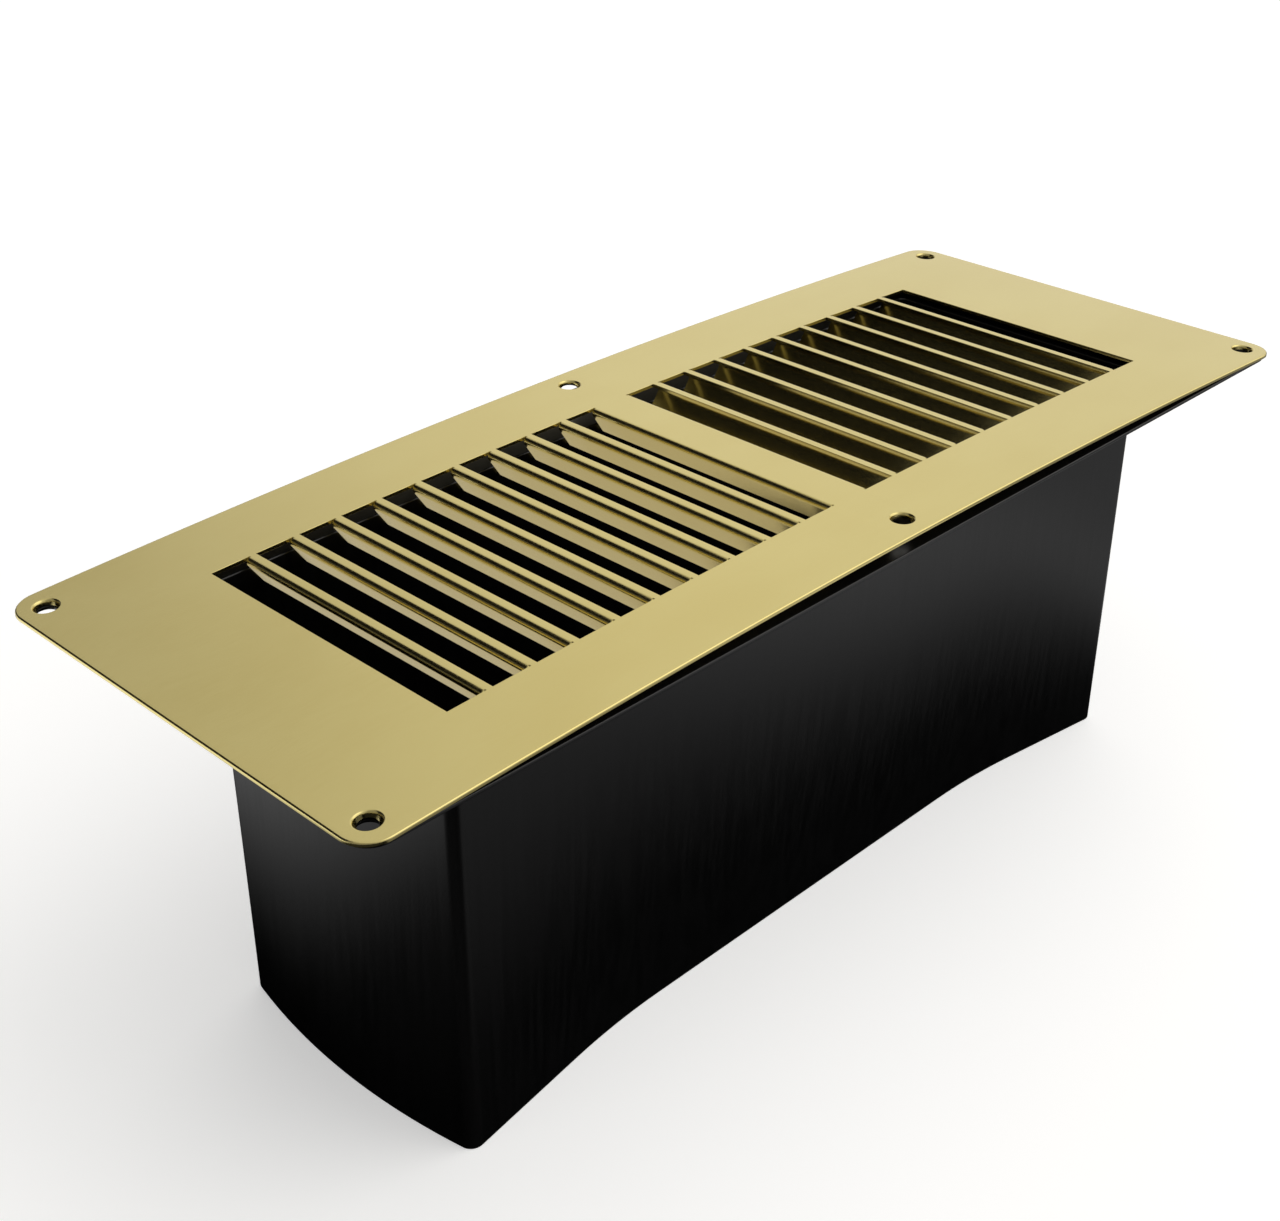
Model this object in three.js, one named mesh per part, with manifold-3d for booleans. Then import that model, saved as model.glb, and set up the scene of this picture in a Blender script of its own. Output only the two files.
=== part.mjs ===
// Floor ventilator: a louvred face plate lying on the flange of a short rectangular duct sleeve.
// Millimetres, +Z up. The origin is the centre of the sleeve's bottom rim, +X runs along the
// plate and +Y across it.
import * as THREE from 'three';
import { mergeVertices } from 'three/addons/utils/BufferGeometryUtils.js';
import Module from 'manifold-3d';

const wasm = await Module();
wasm.setup();

// Face plate, pressed from one sheet
const PLATE_LENGTH = 325;
const PLATE_WIDTH = 125;
const PLATE_CORNER = 7;
const SHEET = 1;
const CROWN = 4; // height of the plate's middle over its two ends

// Fixing holes: the four corners and the middle of each long side
const HOLE_SPACING_X = 156;
const HOLE_SPACING_Y = 111;
const HOLE_RADIUS = 2.1;
const COUNTERSINK_RADIUS = 3.1;
const FLANGE_HOLE_RADIUS = 2.5;

// Louvres: two mirrored banks, each blade a tongue of the sheet bent down and back
const BLADES_PER_BANK = 10;
const PITCH = 12;
const CENTRE_BAR = 14;
const SLOT_WIDTH = 9;
const SLOT_LENGTH = 80;
const BLADE_LENGTH = 79;
const BLADE_FLAT = 6.6;
const BEND_INNER_RADIUS = 0.2;
const LEAN = THREE.MathUtils.degToRad(33); // past vertical, towards the centre bar

// Duct sleeve, one thin moulding
const DUCT_LENGTH = 251;
const DUCT_WIDTH = 83;
const DUCT_CORNER = 3;
const DUCT_DEPTH = 113.5; // bottom rim to the underside of the flange
const WALL = 1.2;
const FLANGE = 1;
const FLANGE_INSET = 1; // of the flange's edge inside the plate's edge
const WAIST = 7.6; // the long walls spring inwards at the free rim
const WAIST_STRAIGHT = 146; // length of the straight middle of the waist
const BULGE = 4.6; // the end walls spring outwards with them

// Fineness of the facets
const ARC_SEGMENTS = 5;
const HOLE_SEGMENTS = 20;
const WALL_RINGS = 8;
const LONG_WALL_PANELS = 20;
const END_WALL_PANELS = 8;

const OVERCUT = 5; // how far a cutter runs past the face it cuts
const FLANGE_TOP = DUCT_DEPTH + FLANGE;
const REST_X = PLATE_LENGTH / 2 - FLANGE_INSET; // where the plate's ends bear on the flange
const BEND_OUTER_RADIUS = BEND_INNER_RADIUS + SHEET;
const FIRST_BEND = CENTRE_BAR / 2 - BEND_OUTER_RADIUS;

// Height of the sheet's underside over the flange
function rise(x) {
  return CROWN * (1 - (x / REST_X) ** 2);
}

function toSolid(geometry) {
  const bare = geometry.index ? geometry.toNonIndexed() : geometry.clone();
  bare.deleteAttribute('normal');
  bare.deleteAttribute('uv');
  const merged = mergeVertices(bare);
  return new wasm.Manifold(new wasm.Mesh({
    numProp: 3,
    vertProperties: new Float32Array(merged.attributes.position.array),
    triVerts: new Uint32Array(merged.index.array),
  }));
}

function toGeometry(solid) {
  const mesh = solid.getMesh();
  const geometry = new THREE.BufferGeometry();
  geometry.setAttribute('position', new THREE.BufferAttribute(mesh.vertProperties, 3));
  geometry.setIndex(new THREE.BufferAttribute(mesh.triVerts, 1));
  return geometry;
}

// A prism standing on z = bottom
function upright(shape, bottom, top) {
  const settings = { depth: top - bottom, bevelEnabled: false, curveSegments: ARC_SEGMENTS };
  return new THREE.ExtrudeGeometry(shape, settings).translate(0, 0, bottom);
}

// A prism of an XZ section, centred on y = 0
function across(section, width) {
  const settings = { depth: width, bevelEnabled: false, curveSegments: ARC_SEGMENTS };
  return new THREE.ExtrudeGeometry(section, settings).rotateX(Math.PI / 2).translate(0, width / 2, 0);
}

function roundedRectangle(length, width, radius) {
  const x = length / 2 - radius;
  const y = width / 2 - radius;
  const quarter = Math.PI / 2;
  return new THREE.Shape()
    .absarc(x, y, radius, 0, quarter)
    .absarc(-x, y, radius, quarter, 2 * quarter)
    .absarc(-x, -y, radius, 2 * quarter, 3 * quarter)
    .absarc(x, -y, radius, 3 * quarter, 4 * quarter);
}

function holePlaces() {
  const places = [];
  for (const column of [-1, 0, 1]) {
    for (const side of [-1, 1]) {
      places.push([column * HOLE_SPACING_X, side * HOLE_SPACING_Y / 2]);
    }
  }
  return places;
}

// Upright round cutter, with its own radius at each end
function roundCutter(x, y, bottom, bottomRadius, top, topRadius) {
  const height = top - bottom;
  const cutter = new THREE.CylinderGeometry(topRadius, bottomRadius, height, HOLE_SEGMENTS);
  return toSolid(cutter.rotateX(Math.PI / 2).translate(x, y, (top + bottom) / 2));
}

// The lines along which the sheet folds, as distances from the centre
function bendLines() {
  return Array.from({ length: BLADES_PER_BANK }, (_, i) => FIRST_BEND + i * PITCH);
}

// The plain crowned sheet: its section breaks at the bend lines, so each blade meets a flat strip
function sheet() {
  const lastBend = FIRST_BEND + (BLADES_PER_BANK - 1) * PITCH;
  const half = [...bendLines(), lastBend + PITCH, lastBend + 2 * PITCH, REST_X, PLATE_LENGTH / 2];
  const stations = [...half.map((x) => -x).reverse(), ...half];
  const top = stations.map((x) => new THREE.Vector2(x, FLANGE_TOP + SHEET + rise(x)));
  const underside = stations.map((x) => new THREE.Vector2(x, FLANGE_TOP + rise(x)));
  const section = new THREE.Shape([...underside, ...top.reverse()]);
  const outline = roundedRectangle(PLATE_LENGTH, PLATE_WIDTH, PLATE_CORNER);
  const trim = upright(outline, DUCT_DEPTH - OVERCUT, FLANGE_TOP + CROWN + OVERCUT);
  return toSolid(across(section, PLATE_WIDTH)).intersect(toSolid(trim));
}

// A blade's section: x = 0, y = 0 is on the sheet's top face at the bend line
function bladeSection() {
  const root = 1;
  const upright90 = Math.PI / 2;
  const tip = new THREE.Vector2(-Math.sin(LEAN), -Math.cos(LEAN)).multiplyScalar(BLADE_FLAT);
  const outward = new THREE.Vector2(Math.cos(LEAN), -Math.sin(LEAN));
  const bendCentre = new THREE.Vector2(0, -BEND_OUTER_RADIUS);
  const outer = outward.clone().multiplyScalar(BEND_OUTER_RADIUS).add(bendCentre).add(tip);
  const inner = outward.clone().multiplyScalar(BEND_INNER_RADIUS).add(bendCentre).add(tip);
  return new THREE.Shape()
    .moveTo(-root, 0)
    .absarc(0, bendCentre.y, BEND_OUTER_RADIUS, upright90, -LEAN, true)
    .lineTo(outer.x, outer.y)
    .lineTo(inner.x, inner.y)
    .absarc(0, bendCentre.y, BEND_INNER_RADIUS, -LEAN, upright90, false)
    .lineTo(-root, -SHEET);
}

// A blade in the bank on the given side of the centre bar, square to the strip it hangs from
function blade(bend, side) {
  const inboard = Math.max(bend - PITCH, -FIRST_BEND);
  const slope = Math.atan2(rise(bend) - rise(inboard), bend - inboard);
  const geometry = across(bladeSection(), BLADE_LENGTH);
  geometry.rotateY(-slope).translate(bend, 0, FLANGE_TOP + SHEET + rise(bend));
  return side > 0 ? geometry : geometry.rotateZ(Math.PI);
}

// The cut that frees a blade, from its bend line to the next strip
function slot(bend, side) {
  const width = BEND_OUTER_RADIUS + SLOT_WIDTH;
  const height = CROWN + SHEET + 2 * OVERCUT;
  const box = new THREE.BoxGeometry(width, SLOT_LENGTH, height);
  return box.translate(side * (bend + width / 2), 0, FLANGE_TOP + height / 2 - OVERCUT);
}

function facePlate() {
  let plate = sheet();
  for (const side of [-1, 1]) {
    for (const bend of bendLines()) {
      plate = plate.subtract(toSolid(slot(bend, side))).add(toSolid(blade(bend, side)));
    }
  }
  for (const [x, y] of holePlaces()) {
    const face = FLANGE_TOP + rise(x) + SHEET;
    const depth = COUNTERSINK_RADIUS - HOLE_RADIUS;
    const drill = roundCutter(x, y, face - OVERCUT, HOLE_RADIUS, face + OVERCUT, HOLE_RADIUS);
    const countersink = roundCutter(
      x, y, face - depth, HOLE_RADIUS, face + depth, COUNTERSINK_RADIUS + depth);
    plate = plate.subtract(drill).subtract(countersink);
  }
  return plate;
}

// Rises from 0 at the corner of a wall to 1 along its straight middle, with an eased joint
function waistShape(x) {
  const run = (DUCT_LENGTH / 2 - Math.abs(x)) / (DUCT_LENGTH / 2 - WAIST_STRAIGHT / 2);
  const easing = 0.3;
  const near = Math.max(easing - Math.abs(1 - run), 0) / easing;
  return Math.max(0, Math.min(run, 1) - near * near * easing / 4);
}

// The free rim's spring, nothing at the flange and growing as the square of the depth
function springRim(geometry) {
  const place = geometry.attributes.position;
  for (let i = 0; i < place.count; i++) {
    const x = place.getX(i);
    const y = place.getY(i);
    const depth = Math.max(0, DUCT_DEPTH - place.getZ(i)) / DUCT_DEPTH;
    const endShape = Math.max(0, 1 - (y / (DUCT_WIDTH / 2)) ** 2);
    place.setX(i, x * (1 + depth ** 2 * BULGE * endShape / (DUCT_LENGTH / 2)));
    place.setY(i, y * (1 - depth ** 2 * WAIST * waistShape(x) / (DUCT_WIDTH / 2)));
  }
  return geometry;
}

// The duct's outline inside its outer face by the given amount, its sides split into panels
function ductOutline(inset) {
  const x = DUCT_LENGTH / 2 - DUCT_CORNER;
  const y = DUCT_WIDTH / 2 - DUCT_CORNER;
  const radius = DUCT_CORNER - inset;
  const points = [];
  const corners = [[x, y], [-x, y], [-x, -y], [x, -y]];
  corners.forEach(([cx, cy], corner) => {
    for (let i = 0; i <= ARC_SEGMENTS; i++) {
      const angle = (corner + i / ARC_SEGMENTS) * Math.PI / 2;
      points.push(new THREE.Vector2(cx + radius * Math.cos(angle), cy + radius * Math.sin(angle)));
    }
    const start = points.at(-1);
    const alongX = corner % 2 === 0;
    const panels = alongX ? LONG_WALL_PANELS : END_WALL_PANELS;
    const run = alongX ? new THREE.Vector2(-2 * cx, 0) : new THREE.Vector2(0, -2 * cy);
    for (let i = 1; i < panels; i++) {
      points.push(start.clone().addScaledVector(run, i / panels));
    }
  });
  return new THREE.Shape(points);
}

function ductPrism(inset, bottom, top) {
  const settings = { depth: top - bottom, steps: WALL_RINGS, bevelEnabled: false };
  const prism = new THREE.ExtrudeGeometry(ductOutline(inset), settings).translate(0, 0, bottom);
  return toSolid(springRim(prism));
}

function ductSleeve() {
  const flangeOutline = roundedRectangle(
    PLATE_LENGTH - 2 * FLANGE_INSET, PLATE_WIDTH - 2 * FLANGE_INSET, PLATE_CORNER - FLANGE_INSET);
  const flange = toSolid(upright(flangeOutline, DUCT_DEPTH, FLANGE_TOP));
  let sleeve = ductPrism(0, 0, DUCT_DEPTH + FLANGE / 2).add(flange);
  sleeve = sleeve.subtract(ductPrism(WALL, -OVERCUT, FLANGE_TOP + OVERCUT));
  for (const [x, y] of holePlaces()) {
    sleeve = sleeve.subtract(roundCutter(
      x, y, DUCT_DEPTH - OVERCUT, FLANGE_HOLE_RADIUS, FLANGE_TOP + OVERCUT, FLANGE_HOLE_RADIUS));
  }
  return sleeve;
}

function piece(name, solid, finish) {
  const mesh = new THREE.Mesh(toGeometry(solid), new THREE.MeshStandardMaterial(finish));
  mesh.name = name;
  return mesh;
}

const BRASS_FINISH = { color: 0xcdb976, roughness: 0.32, metalness: 1 };
const BLACK_PLASTIC = { color: 0x16171a, roughness: 0.4, metalness: 0 };

const grille = new THREE.Group();
grille.add(piece('face_plate', facePlate(), BRASS_FINISH));
grille.add(piece('duct_sleeve', ductSleeve(), BLACK_PLASTIC));

export default grille;
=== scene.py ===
"""Looks of the louvred floor ventilator: a pale gold face plate on a black duct sleeve.

Both CAD nodes are replaced by finer meshes with the same shape. Lengths below are millimetres
until a mesh is made, and everything stands in the CAD frame.
"""
import math

import bmesh
import bpy
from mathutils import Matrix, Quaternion, Vector


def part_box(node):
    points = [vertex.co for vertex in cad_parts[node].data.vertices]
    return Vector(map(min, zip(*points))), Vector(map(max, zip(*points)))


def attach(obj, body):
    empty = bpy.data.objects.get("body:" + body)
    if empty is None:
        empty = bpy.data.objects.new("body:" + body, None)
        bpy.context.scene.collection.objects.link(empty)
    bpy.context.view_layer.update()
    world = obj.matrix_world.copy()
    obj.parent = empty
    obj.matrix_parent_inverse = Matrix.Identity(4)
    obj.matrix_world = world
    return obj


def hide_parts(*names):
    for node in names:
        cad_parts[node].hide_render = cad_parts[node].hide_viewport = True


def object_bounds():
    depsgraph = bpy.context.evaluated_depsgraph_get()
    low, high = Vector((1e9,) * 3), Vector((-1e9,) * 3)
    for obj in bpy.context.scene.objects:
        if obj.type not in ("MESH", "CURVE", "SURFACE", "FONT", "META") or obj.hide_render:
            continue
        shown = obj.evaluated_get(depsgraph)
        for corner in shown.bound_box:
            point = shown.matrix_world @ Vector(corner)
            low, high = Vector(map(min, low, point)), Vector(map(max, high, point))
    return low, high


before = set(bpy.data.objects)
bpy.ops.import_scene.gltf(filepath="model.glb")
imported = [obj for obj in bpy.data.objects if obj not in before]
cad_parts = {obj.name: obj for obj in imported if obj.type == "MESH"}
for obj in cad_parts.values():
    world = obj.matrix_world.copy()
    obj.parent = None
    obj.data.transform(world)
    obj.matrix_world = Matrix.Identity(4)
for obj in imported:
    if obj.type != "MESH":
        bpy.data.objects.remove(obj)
CAD_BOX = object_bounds()
PLATE_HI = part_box("face_plate")[1]
SLEEVE_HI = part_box("duct_sleeve")[1]
MM = 0.001

# Face plate
HALF_LENGTH = PLATE_HI.x / MM
HALF_WIDTH = PLATE_HI.y / MM
PLATE_CORNER = 7
SHEET = 1
FLANGE_TOP = SLEEVE_HI.z / MM
FLANGE_INSET = 1
REST_X = HALF_LENGTH - FLANGE_INSET
HOLE_X = 156
HOLE_Y = 55.5
HOLE_RADIUS = 2.1
COUNTERSINK_RADIUS = 3.1

# Louvres
BLADES_PER_BANK = 10
PITCH = 12
FIRST_BEND = 5.8
SLOT_WIDTH = 10.2
SLOT_HALF = 40
BLADE_HALF = 39.5
BLADE_FLAT = 6.6
BEND_INNER_RADIUS = 0.2
BEND_OUTER_RADIUS = BEND_INNER_RADIUS + SHEET
LEAN = math.radians(33)
BEND_STEPS = 10
LAST_EDGE = FIRST_BEND + (BLADES_PER_BANK - 1) * PITCH + SLOT_WIDTH
CROWN = (PLATE_HI.z / MM - SHEET - FLANGE_TOP) / (1 - (FIRST_BEND / REST_X) ** 2)

# Duct sleeve
DUCT_HALF_LENGTH = 125.5
DUCT_HALF_WIDTH = 41.5
DUCT_CORNER = 3
WALL = 1.2
FLANGE = 1
FLANGE_UNDERSIDE = FLANGE_TOP - FLANGE
FLANGE_HOLE_RADIUS = 2.5
FLANGE_HOLE_STEPS = 32
FLANGE_CORNER_STEPS = 12
WAIST = 7.6
WAIST_STRAIGHT_HALF = 73
WAIST_EASING = 0.3
BULGE = 4.6
FLANGE_ROUND = 0.35
FILLET = 0.9
RIM_ROUND = 0.35
THROAT_ROUND = 0.5
WALL_RINGS = 26
LONG_PANELS = 84
END_PANELS = 28
CORNER_STEPS = 8
ROUND_STEPS = 4

# Grid of the plate's mesh: steps along its parts, and the patch of it round each hole
SLOT_STEPS = 3
BLADE_STEPS = 4
SIDE_MARGIN_STEPS = 2
END_MARGIN_STEPS = 5
PATCH_STEPS = 12
PATCH_HALF_X = 6.5
PATCH_HALF_Y = 7
PATCH_RINGS = (0.66, 0.33, 0.0)  # from its border, which is 1, to the hole's lip

# Rounding of the plate's edges: a radius, and the share of it that finer edges get
EDGE_ROUND = 0.42
EDGE_SEGMENTS = 3
SLOT_EDGE_SHARE = 0.3
UNDER_EDGE_SHARE = 0.35
HOLE_EDGE_SHARE = 0.3

# Materials. Each noise has a scale per metre along each axis, its detail and its seed
GOLD = {
    "metallic": 1.0,
    "deep": (0.635, 0.53, 0.208, 1),
    "pale": (0.67, 0.57, 0.238, 1),
    "lines": ((70, 3200, 3200), 4, 0.0),
    "clouds": ((22, 34, 34), 2, 3.1),
    "specks": ((1900, 1900, 1900), 2, 7.7),
    "lines_in_colour": 0.45,
    "colour_from": (0.3, 0.7),
    "specks_in_roughness": 0.5,
    "roughness_from": (0.55, 0.95),
    "roughness": (0.17, 0.25),
    "relief": (0.16, 0.00002),
}
BLACK = {
    "metallic": 0.0,
    "deep": (0.0018, 0.0018, 0.0020, 1),
    "pale": (0.0030, 0.0030, 0.0033, 1),
    "lines": ((750, 750, 9), 3, 0.0),
    "clouds": ((18, 18, 14), 2, 5.3),
    "specks": ((1500, 1500, 1500), 2, 1.9),
    "lines_in_colour": 0.7,
    "colour_from": (0.35, 0.65),
    "specks_in_roughness": 0.4,
    "roughness_from": (0.5, 0.9),
    "roughness": (0.30, 0.36),
    "relief": (0.2, 0.00003),
}
REFRACTION = 1.5
NOISE_ROUGHNESS = 0.55

# Floor, in metres. Each smooth step below is (start, end, value before, value after)
FLOOR_SIZE = 3.0
FLOOR_COLOUR = (0.9, 0.9, 0.9, 1)
FLOOR_ROUGHNESS = 0.9
FLOOR_LIFT = 0.42
# The steps below set painted shade on the floor as reflections see it: dark beside the sleeve, pale
# further out
END_FADE = (0.0, 0.09, 0.0, 1.0)
END_RISE = (0.02, 0.16, 0.03, 1.3)
WALL_FADE = (0.012, 0.14, 0.0, 1.0)
WALL_RISE = (-0.02, 0.17, 0.26, 0.75)
WALL_FALL = (0.18, 0.25, 1.0, 0.35)

# Studio. Steps run over the cosine to a direction, or over the height of a direction
SKY_COLOUR = (1.0, 0.985, 0.955, 1)
SKY_BASE = 0.60
BEHIND_RIGHT = (0.80, 0.50, 0.33)
BEHIND_RIGHT_STEP = (0.82, 0.985, 0.0, 0.36)
FRONT_RIGHT = (0.60, -0.52, 0.60)
FRONT_RIGHT_STEP = (0.70, 0.97, 0.0, 0.85)
LEFT = (-1, 0, 0)
LEFT_STEP = (0.2, 0.6, 1.0, 0.5)
BEHIND_LEFT = (-0.4695, 0.8829, 0)
DARK_SIDES = (0.755, 0.809, 0.0, 1.0)
DARK_TOP = (0.80, 0.93, 1.0, 0.0)
DARK_FOOT = (0.26, 0.38, 0.70, 0.99)
OVERHEAD_STEP = (0.56, 0.68, 1.0, 1.22)
BELOW_STEP = (-0.60, -0.36, 0.02, 0.55)
HORIZON_STEP = (-0.05, 0.05, 0.0, 1.0)
LIGHT_BOUNCES = 12

# Light inside the duct, in metres and watts
GLOW_PLACE = Vector((-0.054, 0.0361, 0.0605))
GLOW_AIM = Vector((0, -1, 0.0739))
GLOW_SIZE = (0.128, 0.111)
GLOW_POWER = 0.026
GLOW_COLOUR = (1.0, 0.92, 0.72)

# Camera, in metres, with its lens and sensor in millimetres
CAMERA_PLACE = Vector((-0.31789, -0.28416, 0.31826))
CAMERA_TARGET = Vector((-0.05266, -0.02261, 0.10344))
CAMERA_ROLL = math.radians(-0.146)
CAMERA_LENS = 53.135
CAMERA_SENSOR = 36
CAMERA_REACH = (0.02, 50)


def rise(x):
    """Height of the sheet's underside over the flange."""
    return CROWN * (1 - (max(abs(x), FIRST_BEND) / REST_X) ** 2)


def spread(start, end, count):
    """The points that split start to end into count steps, without start itself."""
    return [start + (end - start) * (k + 1) / count for k in range(count)]


def mirrored(half):
    """The values of half with their negatives before them."""
    return [-v for v in reversed(half) if v > 0] + half


class PlateMesh:
    """The plate as a grid of quads: two faces joined at the rim, holes and slots, and the blades."""

    def __init__(self):
        self.bm = bmesh.new()
        self.weight = self.bm.edges.layers.float.new("bevel_weight_edge")
        self.made = {}
        half_x = [0.0] + spread(0, FIRST_BEND, PATCH_STEPS // 2)
        for i in range(BLADES_PER_BANK):
            bend = FIRST_BEND + i * PITCH
            half_x += spread(bend, bend + SLOT_WIDTH, SLOT_STEPS)
            if i < BLADES_PER_BANK - 1:
                half_x.append(bend + PITCH)
        self.patch_x = HOLE_X - PATCH_HALF_X
        half_x += spread(LAST_EDGE, self.patch_x, END_MARGIN_STEPS)
        half_x += spread(self.patch_x, HALF_LENGTH, PATCH_STEPS)
        self.patch_y = HOLE_Y - PATCH_HALF_Y
        half_y = [0.0] + spread(0, BLADE_HALF, BLADE_STEPS) + [SLOT_HALF]
        half_y += spread(SLOT_HALF, self.patch_y, SIDE_MARGIN_STEPS)
        half_y += spread(self.patch_y, HALF_WIDTH, PATCH_STEPS)
        self.xs = mirrored(half_x)
        self.ys = mirrored(half_y)

    def column(self, x):
        return min(range(len(self.xs)), key=lambda i: abs(self.xs[i] - x))

    def row(self, y):
        return min(range(len(self.ys)), key=lambda j: abs(self.ys[j] - y))

    def corner_point(self, i, j):
        """Where a grid point of the rim belongs, which differs only round the corners."""
        x, y = self.xs[i], self.ys[j]
        on_end = i in (0, len(self.xs) - 1)
        on_side = j in (0, len(self.ys) - 1)
        ax, ay = abs(x), abs(y)
        quarter = PLATE_CORNER * math.pi / 4
        cx, cy = HALF_LENGTH - PLATE_CORNER, HALF_WIDTH - PLATE_CORNER
        if on_end and ay > self.patch_y:
            straight = cy - self.patch_y
            run = (ay - self.patch_y) / (HALF_WIDTH - self.patch_y) * (straight + quarter)
            angle = max(0, run - straight) / PLATE_CORNER
            ay = self.patch_y + run if angle == 0 else cy + PLATE_CORNER * math.sin(angle)
            ax = cx + PLATE_CORNER * math.cos(angle)
        elif on_side and ax > self.patch_x:
            straight = cx - self.patch_x
            run = (ax - self.patch_x) / (HALF_LENGTH - self.patch_x) * (straight + quarter)
            angle = max(0, run - straight) / PLATE_CORNER
            ax = self.patch_x + run if angle == 0 else cx + PLATE_CORNER * math.sin(angle)
            ay = cy + PLATE_CORNER * math.cos(angle)
        return math.copysign(ax, x), math.copysign(ay, y)

    def point(self, x, y, top):
        return self.bm.verts.new((x, y, FLANGE_TOP + rise(x) + (SHEET if top else 0)))

    def grid(self, i, j, top):
        key = (i, j, top)
        if key not in self.made:
            self.made[key] = self.point(*self.corner_point(i, j), top)
        return self.made[key]

    def face(self, *corners):
        return self.bm.faces.new(corners)

    def soften(self, a, b, share):
        edge = self.bm.edges.get((a, b))
        edge[self.weight] = share

    def wall(self, first, second, share):
        """A piece of rim between two grid points, from the top face to the underside."""
        a, b = self.grid(*first, True), self.grid(*second, True)
        c, d = self.grid(*second, False), self.grid(*first, False)
        self.face(a, b, c, d)
        self.soften(a, b, share)
        self.soften(c, d, min(share, UNDER_EDGE_SHARE))

    def patches(self):
        """Grid blocks that hold a fixing hole, as (first column, last column, first row, last row).

        The blocks on the middle bar are a step shorter at each side, which makes them nearly square."""
        last_x, last_y = len(self.xs) - 1, len(self.ys) - 1
        bar = (self.column(-FIRST_BEND), self.column(FIRST_BEND))
        ends = [(0, PATCH_STEPS), bar, (last_x - PATCH_STEPS, last_x)]
        blocks = []
        for first, last in ends:
            inner = 1 if (first, last) == bar else 0
            blocks.append((first, last, inner, PATCH_STEPS - inner))
            blocks.append((first, last, last_y - PATCH_STEPS + inner, last_y - inner))
        return blocks

    def hole(self, block):
        """The rings between a block's border and its hole, on both faces, and the hole's wall."""
        i0, i1, j0, j1 = block
        border = [(i, j0) for i in range(i0, i1)] + [(i1, j) for j in range(j0, j1)]
        border += [(i, j1) for i in range(i1, i0, -1)] + [(i0, j) for j in range(j1, j0, -1)]
        middle = (self.xs[i0] + self.xs[i1]) / 2
        cx = round(middle / HOLE_X) * HOLE_X
        cy = math.copysign(HOLE_Y, self.ys[j0])
        lips = {}
        for top, radius in ((True, COUNTERSINK_RADIUS), (False, HOLE_RADIUS)):
            ring = [self.grid(i, j, top) for i, j in border]
            away = [Vector((v.co.x - cx, v.co.y - cy)) for v in ring]
            for share in PATCH_RINGS:
                inner = []
                for offset in away:
                    reach = radius + (offset.length - radius) * share
                    spot = offset.normalized() * reach
                    inner.append(self.point(cx + spot.x, cy + spot.y, top))
                for k in range(len(ring)):
                    n = (k + 1) % len(ring)
                    self.face(ring[k], ring[n], inner[n], inner[k])
                ring = inner
            lips[top] = ring
        count = len(lips[True])
        for k in range(count):
            n = (k + 1) % count
            self.face(lips[True][k], lips[True][n], lips[False][n], lips[False][k])
            self.soften(lips[True][k], lips[True][n], HOLE_EDGE_SHARE)

    def sheet(self):
        blocks = self.patches()
        slots = set()
        for side in (-1, 1):
            for n in range(BLADES_PER_BANK):
                bend = FIRST_BEND + n * PITCH
                columns = sorted((self.column(side * bend), self.column(side * (bend + SLOT_WIDTH))))
                slots.update(range(*columns))
        low, high = self.row(-SLOT_HALF), self.row(SLOT_HALF)
        for i in range(len(self.xs) - 1):
            for j in range(len(self.ys) - 1):
                if i in slots and low <= j < high:
                    continue
                if any(a <= i < b and c <= j < d for a, b, c, d in blocks):
                    continue
                for top in (True, False):
                    self.face(self.grid(i, j, top), self.grid(i + 1, j, top),
                              self.grid(i + 1, j + 1, top), self.grid(i, j + 1, top))
        for block in blocks:
            self.hole(block)

    def rim(self):
        last_x, last_y = len(self.xs) - 1, len(self.ys) - 1
        for i in range(last_x):
            self.wall((i, 0), (i + 1, 0), 1)
            self.wall((i, last_y), (i + 1, last_y), 1)
        for j in range(last_y):
            self.wall((0, j), (0, j + 1), 1)
            self.wall((last_x, j), (last_x, j + 1), 1)

    def blade_path(self, bend):
        """The blade's section as pairs of points on its outer and inner face, from the bend line on.

        Each point is (distance out over the slot, height over the sheet's top at the bend line)."""
        inboard = max(bend - PITCH, -FIRST_BEND)
        slope = math.atan2(rise(bend) - rise(inboard), bend - inboard)
        pairs = []
        turn = math.pi / 2 + LEAN
        for k in range(1, BEND_STEPS + 1):
            a = turn * k / BEND_STEPS
            pairs.append([(r * math.sin(a), r * math.cos(a) - BEND_OUTER_RADIUS)
                          for r in (BEND_OUTER_RADIUS, BEND_INNER_RADIUS)])
        for length in (BLADE_FLAT * 0.5, BLADE_FLAT):
            drop = (-math.sin(LEAN) * length, -math.cos(LEAN) * length)
            pairs.append([(u + drop[0], w + drop[1]) for u, w in pairs[BEND_STEPS - 1]])
        c, s = math.cos(slope), math.sin(slope)
        return [[(u * c - w * s, u * s + w * c) for u, w in pair] for pair in pairs]

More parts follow.
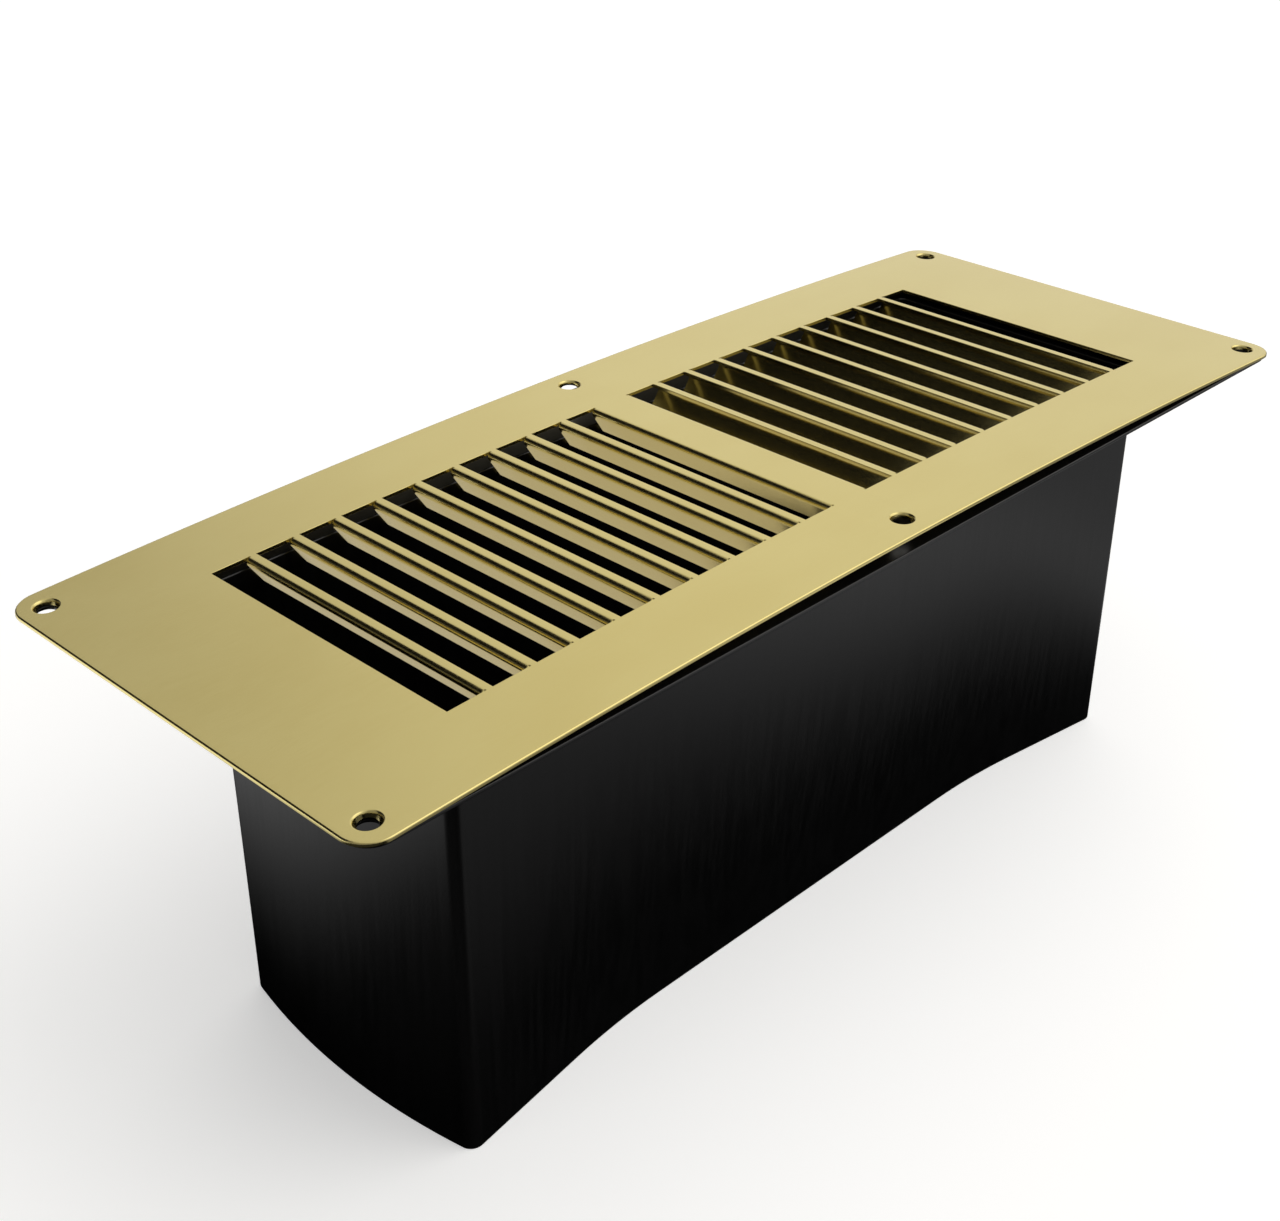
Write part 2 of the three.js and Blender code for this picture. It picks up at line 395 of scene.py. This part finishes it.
    def blade(self, side, n):
        bend = FIRST_BEND + n * PITCH
        i = self.column(side * bend)
        rows = range(self.row(-BLADE_HALF), self.row(BLADE_HALF) + 1)
        base = FLANGE_TOP + SHEET + rise(bend)
        path = self.blade_path(bend)
        lines = []
        for j in rows:
            outer, inner = [self.grid(i, j, True)], [self.grid(i, j, False)]
            for (u, w), (p, q) in path:
                outer.append(self.bm.verts.new((side * (bend + u), self.ys[j], base + w)))
                inner.append(self.bm.verts.new((side * (bend + p), self.ys[j], base + q)))
            lines.append((outer, inner))
        for (outer, inner), (outer2, inner2) in zip(lines, lines[1:]):
            for line, line2 in ((outer, outer2), (inner, inner2)):
                for k in range(len(line) - 1):
                    self.face(line[k], line[k + 1], line2[k + 1], line2[k])
            self.face(outer[-1], inner[-1], inner2[-1], outer2[-1])
            self.soften(outer[-1], outer2[-1], SLOT_EDGE_SHARE)
            self.soften(inner[-1], inner2[-1], SLOT_EDGE_SHARE)
        for outer, inner in (lines[0], lines[-1]):
            for k in range(len(outer) - 1):
                self.face(outer[k], outer[k + 1], inner[k + 1], inner[k])

    def slot_walls(self, side, n):
        bend = FIRST_BEND + n * PITCH
        a, b = self.column(side * bend), self.column(side * (bend + SLOT_WIDTH))
        low, high = self.row(-SLOT_HALF), self.row(SLOT_HALF)
        for i in range(min(a, b), max(a, b)):
            self.wall((i, low), (i + 1, low), SLOT_EDGE_SHARE)
            self.wall((i, high), (i + 1, high), SLOT_EDGE_SHARE)
        for j in range(low, high):
            self.wall((b, j), (b, j + 1), SLOT_EDGE_SHARE)
        self.wall((a, low), (a, low + 1), SLOT_EDGE_SHARE)
        self.wall((a, high - 1), (a, high), SLOT_EDGE_SHARE)

    def build(self):
        self.sheet()
        self.rim()
        for side in (-1, 1):
            for n in range(BLADES_PER_BANK):
                self.slot_walls(side, n)
                self.blade(side, n)
        return self.bm


def rounded_outline(half_length, half_width, radius, steps, long_panels=1, end_panels=1):
    """A closed ring of points, with the same count whatever its size."""
    points = []
    corners = ((1, 1), (-1, 1), (-1, -1), (1, -1))
    cx, cy = half_length - radius, half_width - radius
    for n, (sx, sy) in enumerate(corners):
        for k in range(steps + 1):
            angle = (n + k / steps) * math.pi / 2
            points.append((sx * cx + radius * math.cos(angle), sy * cy + radius * math.sin(angle)))
        nx, ny = corners[(n + 1) % 4]
        panels = long_panels if n % 2 == 0 else end_panels
        start = points[-1]
        for k in range(1, panels):
            points.append((start[0] + (nx - sx) * cx * k / panels,
                           start[1] + (ny - sy) * cy * k / panels))
    return points


def waist_shape(x):
    """How far in a long wall springs at x: 0 at the corners, 1 along the middle, eased between."""
    run = (DUCT_HALF_LENGTH - abs(x)) / (DUCT_HALF_LENGTH - WAIST_STRAIGHT_HALF)
    near = max(WAIST_EASING - abs(1 - run), 0) / WAIST_EASING
    return max(0, min(run, 1) - near * near * WAIST_EASING / 4)


def sprung(x, y, z):
    """The sleeve's walls spring in and out towards the free rim."""
    depth = max(0, FLANGE_UNDERSIDE - z) / FLANGE_UNDERSIDE
    end_shape = max(0, 1 - (y / DUCT_HALF_WIDTH) ** 2)
    return (x * (1 + depth ** 2 * BULGE * end_shape / DUCT_HALF_LENGTH),
            y * (1 - depth ** 2 * WAIST * waist_shape(x) / DUCT_HALF_WIDTH), z)


def quarter_round(radius):
    """(sin, 1 - cos) pairs of a quarter turn, scaled by radius, both ends included."""
    turn = [k * math.pi / 2 / ROUND_STEPS for k in range(ROUND_STEPS + 1)]
    return [(radius * math.sin(a), radius * (1 - math.cos(a))) for a in turn]


def ring_of(bm, points):
    return [bm.verts.new(p) for p in points]


def join_rings(bm, rings):
    for ring, following in zip(rings, rings[1:]):
        for k in range(len(ring)):
            n = (k + 1) % len(ring)
            bm.faces.new((ring[k], ring[n], following[n], following[k]))


def duct_ring(bm, inset, z):
    outline = rounded_outline(DUCT_HALF_LENGTH - inset, DUCT_HALF_WIDTH - inset,
                              DUCT_CORNER - inset, CORNER_STEPS, LONG_PANELS, END_PANELS)
    return ring_of(bm, [sprung(x, y, z) for x, y in outline])


def flange_ring(bm, inset, z):
    outline = rounded_outline(HALF_LENGTH - FLANGE_INSET - inset, HALF_WIDTH - FLANGE_INSET - inset,
                              PLATE_CORNER - FLANGE_INSET - inset, FLANGE_CORNER_STEPS)
    return ring_of(bm, [(x, y, z) for x, y in outline])


def cap(bm, rings):
    """Fills the flat region between closed rings."""
    edges = [bm.edges.get((r[k], r[(k + 1) % len(r)])) for r in rings for k in range(len(r))]
    bmesh.ops.triangle_fill(bm, use_beauty=True, use_dissolve=False, edges=edges)


def duct_profile():
    """(inset, z) from the flange's underside down the outside, round the rim and up the inside."""
    profile = []
    for s, c in reversed(quarter_round(FILLET)):
        profile.append((-c, FLANGE_UNDERSIDE - FILLET + s))
    bottom = RIM_ROUND
    for k in range(1, WALL_RINGS):
        z = FLANGE_UNDERSIDE - FILLET + (bottom - FLANGE_UNDERSIDE + FILLET) * k / WALL_RINGS
        profile.append((0, z))
    for s, c in quarter_round(RIM_ROUND):
        profile.append((c, bottom - s))
    for s, c in reversed(quarter_round(RIM_ROUND)):
        profile.append((WALL - c, bottom - s))
    top = FLANGE_TOP - THROAT_ROUND
    for k in range(1, WALL_RINGS):
        profile.append((WALL, bottom + (top - bottom) * k / WALL_RINGS))
    for s, c in quarter_round(THROAT_ROUND):
        profile.append((WALL - c, top + s))
    return profile


def sleeve_mesh():
    bm = bmesh.new()
    duct = [duct_ring(bm, inset, z) for inset, z in duct_profile()]
    join_rings(bm, duct)
    edge = []
    for s, c in reversed(quarter_round(FLANGE_ROUND)):
        edge.append((c, FLANGE_TOP - FLANGE_ROUND + s))
    for s, c in quarter_round(FLANGE_ROUND):
        edge.append((c, FLANGE_UNDERSIDE + FLANGE_ROUND - s))
    flange = [flange_ring(bm, inset, z) for inset, z in edge]
    join_rings(bm, flange)
    tops, undersides = [flange[0], duct[-1]], [flange[-1], duct[0]]
    for cx in (-HOLE_X, 0, HOLE_X):
        for cy in (-HOLE_Y, HOLE_Y):
            turns = [2 * math.pi * k / FLANGE_HOLE_STEPS for k in range(FLANGE_HOLE_STEPS)]
            circle = [(cx + FLANGE_HOLE_RADIUS * math.cos(a), cy + FLANGE_HOLE_RADIUS * math.sin(a))
                      for a in turns]
            upper = ring_of(bm, [(x, y, FLANGE_TOP) for x, y in circle])
            lower = ring_of(bm, [(x, y, FLANGE_UNDERSIDE) for x, y in circle])
            join_rings(bm, [upper, lower])
            tops.append(upper)
            undersides.append(lower)
    cap(bm, tops)
    cap(bm, undersides)
    return bm


def as_object(name, bm):
    """Turns a mesh in millimetres into a smooth object in metres."""
    bmesh.ops.recalc_face_normals(bm, faces=bm.faces)
    bmesh.ops.scale(bm, vec=(MM, MM, MM), verts=bm.verts)
    mesh = bpy.data.meshes.new(name)
    for f in bm.faces:
        f.smooth = True
    bm.to_mesh(mesh)
    bm.free()
    obj = bpy.data.objects.new(name, mesh)
    bpy.context.scene.collection.objects.link(obj)
    return obj


class Nodes:
    """Short-hand for building a node tree."""

    def __init__(self, tree):
        self.tree = tree
        tree.nodes.clear()

    def add(self, kind, settings=None, **inputs):
        node = self.tree.nodes.new(kind)
        for key, value in (settings or {}).items():
            setattr(node, key, value)
        for key, value in inputs.items():
            self.put(node.inputs[key.replace("_", " ")], value)
        return node

    def put(self, socket, value):
        if isinstance(value, bpy.types.NodeSocket):
            self.tree.links.new(value, socket)
        elif isinstance(value, bpy.types.Node):
            self.tree.links.new(value.outputs[0], socket)
        else:
            socket.default_value = value

    def math(self, operation, a, b=0.0):
        node = self.tree.nodes.new("ShaderNodeMath")
        node.operation = operation
        self.put(node.inputs[0], a)
        self.put(node.inputs[1], b)
        return node.outputs[0]

    def ramp(self, value, low, high, out_low=0.0, out_high=1.0):
        """A smooth step from out_low to out_high as value goes from low to high."""
        node = self.add("ShaderNodeMapRange", {"interpolation_type": "SMOOTHSTEP"}, Value=value)
        for name, v in (("From Min", low), ("From Max", high), ("To Min", out_low), ("To Max", out_high)):
            self.put(node.inputs[name], v)
        return node.outputs[0]

    def mix(self, factor, first, second):
        node = self.tree.nodes.new("ShaderNodeMixShader")
        for socket, value in zip(node.inputs, (factor, first, second)):
            self.put(socket, value)
        return node

    def toward(self, direction, vector):
        """Cosine of the angle between a direction and the vector socket."""
        node = self.tree.nodes.new("ShaderNodeVectorMath")
        node.operation = "DOT_PRODUCT"
        self.put(node.inputs[0], direction)
        node.inputs[1].default_value = Vector(vector).normalized()
        return node.outputs["Value"]


def stretched_noise(n, where, scale, detail, seed):
    """Noise with its own scale along each axis, per metre."""
    place = n.add("ShaderNodeMapping", Vector=where)
    place.inputs["Scale"].default_value = scale
    place.inputs["Location"].default_value = (seed, seed * 1.7, seed * 0.6)
    noise = n.add("ShaderNodeTexNoise", Vector=place, Scale=1.0, Detail=detail, Roughness=NOISE_ROUGHNESS)
    return noise.outputs["Fac"]


def surface(name, look):
    """A material whose colour, roughness and relief vary with fine lines, clouds and specks."""
    material = bpy.data.materials.new(name)
    material.use_nodes = True
    n = Nodes(material.node_tree)
    where = n.add("ShaderNodeTexCoord").outputs["Object"]
    lines, clouds, specks = (stretched_noise(n, where, *look[k]) for k in ("lines", "clouds", "specks"))
    share = look["lines_in_colour"]
    tone = n.math("ADD", n.math("MULTIPLY", lines, share), n.math("MULTIPLY", clouds, 1 - share))
    colour = n.add("ShaderNodeMix", {"data_type": "RGBA"})
    n.put(colour.inputs["Factor"], n.ramp(tone, *look["colour_from"]))
    n.put(colour.inputs[6], look["deep"])
    n.put(colour.inputs[7], look["pale"])
    wear = n.math("ADD", lines, n.math("MULTIPLY", specks, look["specks_in_roughness"]))
    rough = n.ramp(wear, *look["roughness_from"], *look["roughness"])
    strength, distance = look["relief"]
    bump = n.add("ShaderNodeBump", Strength=strength, Distance=distance,
                 Height=n.math("ADD", lines, specks))
    shader = n.add("ShaderNodeBsdfPrincipled", Metallic=look["metallic"], Roughness=rough, Normal=bump,
                   IOR=REFRACTION)
    n.put(shader.inputs["Base Color"], colour.outputs[2])
    n.add("ShaderNodeOutputMaterial", Surface=shader)
    return material


def finished(name, bm, node, slot, look):
    """A piece with its material that stands in for a CAD node."""
    obj = as_object(name, bm)
    obj.data.materials.append(surface(slot, look))
    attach(obj, "root")
    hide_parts(node)
    return obj


def build_plate():
    plate = finished("louvred_plate", PlateMesh().build(), "face_plate", "gold_anodised", GOLD)
    bevel = plate.modifiers.new("rounded_edges", "BEVEL")
    bevel.limit_method = "WEIGHT"
    bevel.width = EDGE_ROUND * MM
    bevel.segments = EDGE_SEGMENTS
    bevel.use_clamp_overlap = False
    plate.modifiers.new("normals", "WEIGHTED_NORMAL")
    return plate


def build_sleeve():
    sleeve = finished("sleeve_moulding", sleeve_mesh(), "duct_sleeve", "black_plastic", BLACK)
    sleeve.modifiers.new("normals", "WEIGHTED_NORMAL")


def build_floor():
    """A pale floor. In reflections only, it shows painted shade close to the sleeve, so the sleeve's
    walls, which mirror it, darken towards the bottom.
    """
    mesh = bpy.data.meshes.new("floor")
    corners = [(x * FLOOR_SIZE, y * FLOOR_SIZE, 0) for x, y in ((-1, -1), (1, -1), (1, 1), (-1, 1))]
    mesh.from_pydata(corners, [], [(0, 1, 2, 3)])
    floor = bpy.data.objects.new("floor", mesh)
    floor.location.z = CAD_BOX[0].z
    bpy.context.scene.collection.objects.link(floor)
    material = bpy.data.materials.new("pale_floor")
    material.use_nodes = True
    n = Nodes(material.node_tree)
    where = n.add("ShaderNodeTexCoord").outputs["Object"]
    place = n.add("ShaderNodeSeparateXYZ", Vector=where).outputs
    out_x = n.math("SUBTRACT", n.math("ABSOLUTE", place["X"]), DUCT_HALF_LENGTH * MM)
    out_y = n.math("SUBTRACT", n.math("ABSOLUTE", place["Y"]), DUCT_HALF_WIDTH * MM)
    left = n.math("LESS_THAN", place["X"], -DUCT_HALF_LENGTH * MM)
    beside_end = n.math("MULTIPLY", n.ramp(out_x, *END_FADE), n.ramp(place["Y"], *END_RISE))
    along = n.math("MULTIPLY", n.ramp(place["X"], *WALL_RISE), n.ramp(place["X"], *WALL_FALL))
    beside_wall = n.math("MULTIPLY", n.ramp(n.math("MAXIMUM", out_x, out_y), *WALL_FADE), along)
    # painted shade: how bright the floor looks in reflections, dark beside the sleeve's walls and ends
    mirrored = n.math("ADD", n.math("MULTIPLY", left, beside_end),
                      n.math("MULTIPLY", n.math("SUBTRACT", 1.0, left), beside_wall))
    # an emission that paints this shade, seen only in reflections
    painted_shade_reflection = n.add("ShaderNodeEmission", Strength=mirrored)
    shader = n.add("ShaderNodeBsdfPrincipled", Roughness=FLOOR_ROUGHNESS)
    n.put(shader.inputs["Base Color"], FLOOR_COLOUR)
    n.put(shader.inputs["Emission Color"], (1, 1, 1, 1))
    path = n.add("ShaderNodeLightPath").outputs
    n.put(shader.inputs["Emission Strength"], n.math("MULTIPLY", path["Is Camera Ray"], FLOOR_LIFT))
    # glossy rays see the painted shade in place of the lit floor
    n.add("ShaderNodeOutputMaterial", Surface=n.mix(path["Is Glossy Ray"], shader, painted_shade_reflection))
    mesh.materials.append(material)


def build_world():
    """A pale studio, brighter at the right and dimmer at the left.

    Behind left it has a tall dark part, which the right bank's blades mirror."""
    world = bpy.data.worlds.new("studio")
    bpy.context.scene.world = world
    world.use_nodes = True
    n = Nodes(world.node_tree)
    d = n.add("ShaderNodeTexCoord").outputs["Generated"]
    height = n.add("ShaderNodeSeparateXYZ", Vector=d).outputs["Z"]
    light = n.math("ADD", SKY_BASE, n.ramp(n.toward(d, BEHIND_RIGHT), *BEHIND_RIGHT_STEP))
    light = n.math("ADD", light, n.ramp(n.toward(d, FRONT_RIGHT), *FRONT_RIGHT_STEP))
    light = n.math("MULTIPLY", light, n.ramp(n.toward(d, LEFT), *LEFT_STEP))
    flat = n.add("ShaderNodeVectorMath", {"operation": "MULTIPLY"}, Vector=d)
    flat.inputs[1].default_value = (1, 1, 0)
    level = n.add("ShaderNodeVectorMath", {"operation": "NORMALIZE"}, Vector=flat).outputs[0]
    dark = n.ramp(n.toward(level, BEHIND_LEFT), *DARK_SIDES)
    dark = n.math("MULTIPLY", dark, n.ramp(height, *DARK_TOP))
    dark = n.math("MULTIPLY", dark, n.ramp(height, *DARK_FOOT))
    light = n.math("MULTIPLY", light, n.math("SUBTRACT", 1.0, dark))
    light = n.math("MULTIPLY", light, n.ramp(height, *OVERHEAD_STEP))
    upper = n.ramp(height, *HORIZON_STEP)
    lower = n.math("MULTIPLY", n.math("SUBTRACT", 1.0, upper), n.ramp(height, *BELOW_STEP))
    light = n.math("MULTIPLY", light, n.math("ADD", upper, lower))
    seen = n.add("ShaderNodeLightPath").outputs["Is Camera Ray"]
    shade = n.add("ShaderNodeBackground", Strength=light)
    shade.inputs["Color"].default_value = SKY_COLOUR
    plain = n.add("ShaderNodeBackground", Strength=1.0)
    plain.inputs["Color"].default_value = (1, 1, 1, 1)
    n.add("ShaderNodeOutputWorld", Surface=n.mix(seen, shade, plain))


def build_blade_glow(plate):
    """Soft light inside the duct that falls only on the plate, as if its blades lit one another."""
    data = bpy.data.lights.new("glow", "AREA")
    data.shape = "RECTANGLE"
    data.size, data.size_y = GLOW_SIZE
    data.energy = GLOW_POWER
    data.color = GLOW_COLOUR
    light = bpy.data.objects.new("glow", data)
    bpy.context.scene.collection.objects.link(light)
    light.location = GLOW_PLACE
    light.rotation_euler = GLOW_AIM.to_track_quat("-Z", "Y").to_euler()
    light.visible_camera = False
    receivers = bpy.data.collections.new("lit_by_glow")
    receivers.objects.link(plate)
    light.light_linking.receiver_collection = receivers


def build_camera():
    data = bpy.data.cameras.new("camera")
    camera = bpy.data.objects.new("camera", data)
    bpy.context.scene.collection.objects.link(camera)
    data.lens = CAMERA_LENS
    data.sensor_width = CAMERA_SENSOR
    data.clip_start, data.clip_end = CAMERA_REACH
    camera.location = CAMERA_PLACE
    level = (CAMERA_TARGET - CAMERA_PLACE).to_track_quat("-Z", "Y")
    camera.rotation_euler = (level @ Quaternion((0, 0, 1), CAMERA_ROLL)).to_euler()
    bpy.context.scene.camera = camera


plate = build_plate()
build_sleeve()
build_floor()
build_blade_glow(plate)
build_world()
build_camera()
scene = bpy.context.scene
scene.view_settings.view_transform = "Standard"
scene.cycles.use_denoising = True
scene.cycles.max_bounces = LIGHT_BOUNCES
